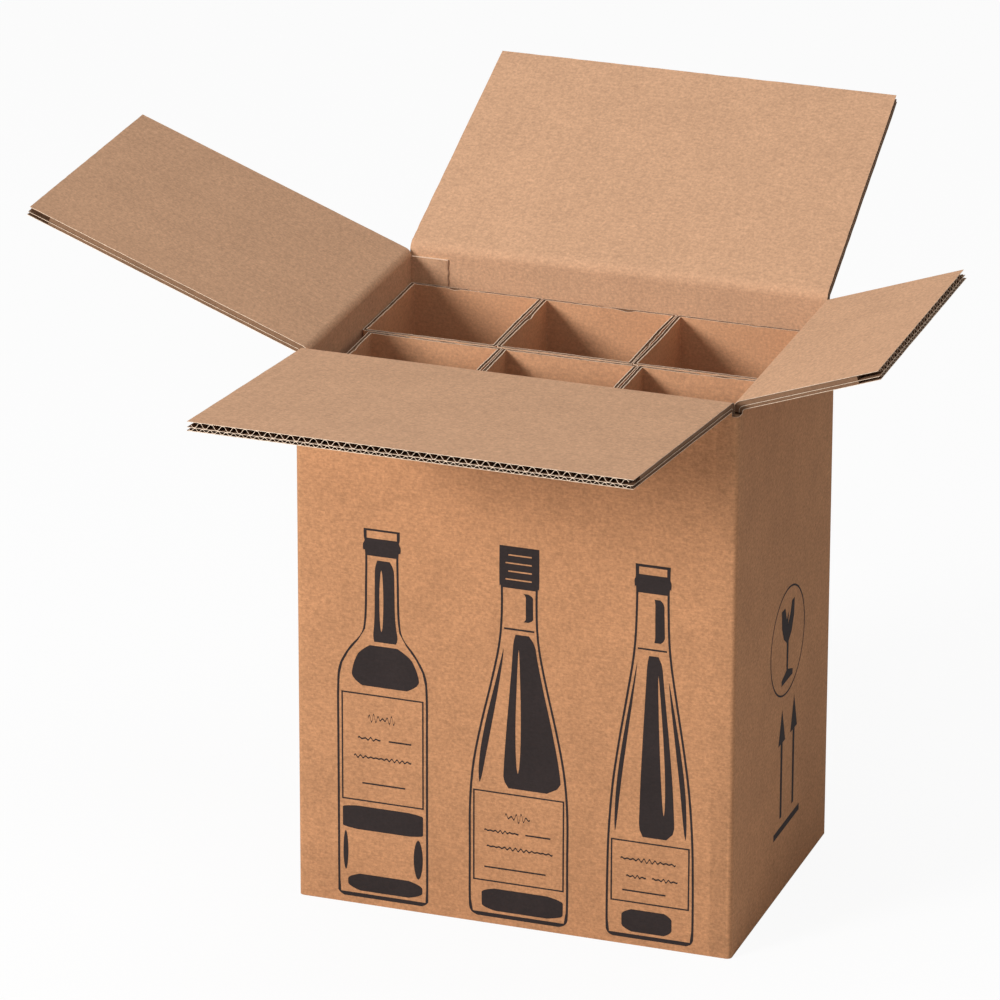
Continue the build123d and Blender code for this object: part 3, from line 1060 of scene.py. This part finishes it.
def build_stage():
    scene = bpy.context.scene
    scene.view_settings.view_transform = "Standard"
    mesh = bpy.data.meshes.new("floor")
    reach = 30.0
    mesh.from_pydata([(-reach, -reach, 0), (reach, -reach, 0), (reach, reach, 0), (-reach, reach, 0)], [],
                     [(0, 1, 2, 3)])
    floor = add_object("floor", mesh, [])
    floor.location.z = -0.0002
    material, nodes, links, shader = new_material("floor_white")
    shader.inputs["Base Color"].default_value = (0.85, 0.85, 0.85, 1)
    shader.inputs["Roughness"].default_value = 0.9
    glow = nodes.new("ShaderNodeEmission")
    glow.inputs["Color"].default_value = (1, 1, 1, 1)
    paths = nodes.new("ShaderNodeLightPath")
    mix = nodes.new("ShaderNodeMixShader")
    seen = math_node(nodes, links, "MULTIPLY", paths.outputs["Is Camera Ray"], 0.93)
    links.new(seen, mix.inputs["Fac"])
    links.new(shader.outputs[0], mix.inputs[1])
    links.new(glow.outputs[0], mix.inputs[2])
    output = next(node for node in nodes if node.type == "OUTPUT_MATERIAL")
    links.new(mix.outputs[0], output.inputs["Surface"])
    floor.data.materials.append(material)

    world = bpy.data.worlds.new("studio")
    scene.world = world
    world.use_nodes = True
    nodes = world.node_tree.nodes
    links = world.node_tree.links
    background = next(node for node in nodes if node.type == "BACKGROUND")
    background.inputs["Color"].default_value = (1, 1, 1, 1)
    paths = nodes.new("ShaderNodeLightPath")
    rays = math_node(nodes, links, "MAXIMUM",
                     paths.outputs["Is Camera Ray"], paths.outputs["Is Glossy Ray"])
    ambient = 0.30
    extra = math_node(nodes, links, "MULTIPLY", rays, 1 - ambient)
    strength = math_node(nodes, links, "ADD", extra, ambient)
    links.new(strength, background.inputs["Strength"])

    for name, place, size, power in (
        ("key", (-1.9, -2.9, 1.75), 1.1, 124.0),
        ("top", (0.2, -0.3, 3.0), 1.6, 22.0),
    ):
        light = bpy.data.lights.new(name, "AREA")
        light.shape = "DISK"
        light.size = size
        light.energy = power
        lamp = bpy.data.objects.new(name, light)
        scene.collection.objects.link(lamp)
        lamp.location = place
        aim = Vector((0, 0, 0.25)) - Vector(place)
        lamp.rotation_euler = aim.to_track_quat("-Z", "Y").to_euler()

    camera = bpy.data.cameras.new("camera")
    camera.sensor_width = 36.0
    camera.lens = 262.9
    camera.clip_end = 100
    viewer = bpy.data.objects.new("camera", camera)
    scene.collection.objects.link(viewer)
    yaw, pitch, roll = (math.radians(a) for a in (19.26, 21.97, 0.13))
    viewer.location = (1.510, -4.463, 2.178)
    viewer.rotation_mode = "QUATERNION"
    turn = Matrix.Rotation(yaw, 3, "Z") @ Matrix.Rotation(math.pi / 2 - pitch, 3, "X")
    turn = turn @ Matrix.Rotation(roll, 3, "Z")
    viewer.rotation_quaternion = turn.to_quaternion()
    scene.camera = viewer


# ---------------------------------------------------------------- operators and panel

MATERIALS = {}


def materials():
    if not MATERIALS:
        MATERIALS.update(make_materials())
    return MATERIALS


class BOX_OT_walls(bpy.types.Operator):
    """Build the carton's walls, glued lap and folded floor"""

    bl_idname = "bottle_box.walls"
    bl_label = "Carton walls"

    def execute(self, context):
        build_walls(materials())
        return {"FINISHED"}


class BOX_OT_flaps(bpy.types.Operator):
    """Build the four top flaps with their open flutes"""

    bl_idname = "bottle_box.flaps"
    bl_label = "Top flaps"

    def execute(self, context):
        tree = flute_tree()
        for number, side in enumerate(("front", "back", "left", "right")):
            build_flap(side, materials(), tree, number * 3 + 1)
        return {"FINISHED"}


class BOX_OT_sleeves(bpy.types.Operator):
    """Build the folded sleeves that keep the bottles apart"""

    bl_idname = "bottle_box.sleeves"
    bl_label = "Bottle sleeves"

    def execute(self, context):
        seed = 11
        for row in ROWS:
            for column in COLUMNS:
                build_sleeve(row, column, materials(), seed)
                seed += 1
        return {"FINISHED"}


class BOX_OT_print(bpy.types.Operator):
    """Print the bottles and the handling signs"""

    bl_idname = "bottle_box.print"
    bl_label = "Print"

    def execute(self, context):
        build_print(materials())
        return {"FINISHED"}


class BOX_OT_stage(bpy.types.Operator):
    """Set up the floor, the light and the camera"""

    bl_idname = "bottle_box.stage"
    bl_label = "Stage"

    def execute(self, context):
        build_stage()
        return {"FINISHED"}


OPERATORS = (BOX_OT_walls, BOX_OT_flaps, BOX_OT_sleeves, BOX_OT_print, BOX_OT_stage)


class BOX_PT_panel(bpy.types.Panel):
    """Lists the steps that build the box"""

    bl_idname = "BOX_PT_panel"
    bl_label = "Bottle Shipping Box"
    bl_space_type = "VIEW_3D"
    bl_region_type = "UI"
    bl_category = "Bottle Box"

    def draw(self, context):
        for operator in OPERATORS:
            self.layout.operator(operator.bl_idname)
        for group in (context.scene.box_board, context.scene.box_finish):
            for name in group.__annotations__:
                self.layout.prop(group, name)


CLASSES = (BoxBoard, BoxFinish) + OPERATORS + (BOX_PT_panel,)


def register():
    for item in CLASSES:
        bpy.utils.register_class(item)
    bpy.types.Scene.box_board = bpy.props.PointerProperty(type=BoxBoard)
    bpy.types.Scene.box_finish = bpy.props.PointerProperty(type=BoxFinish)


def unregister():
    del bpy.types.Scene.box_finish
    del bpy.types.Scene.box_board
    for item in reversed(CLASSES):
        bpy.utils.unregister_class(item)


def main():
    register()
    bpy.ops.bottle_box.stage()
    bpy.ops.bottle_box.walls()
    bpy.ops.bottle_box.flaps()
    bpy.ops.bottle_box.sleeves()
    bpy.ops.bottle_box.print()


if __name__ == "__main__":
    main()
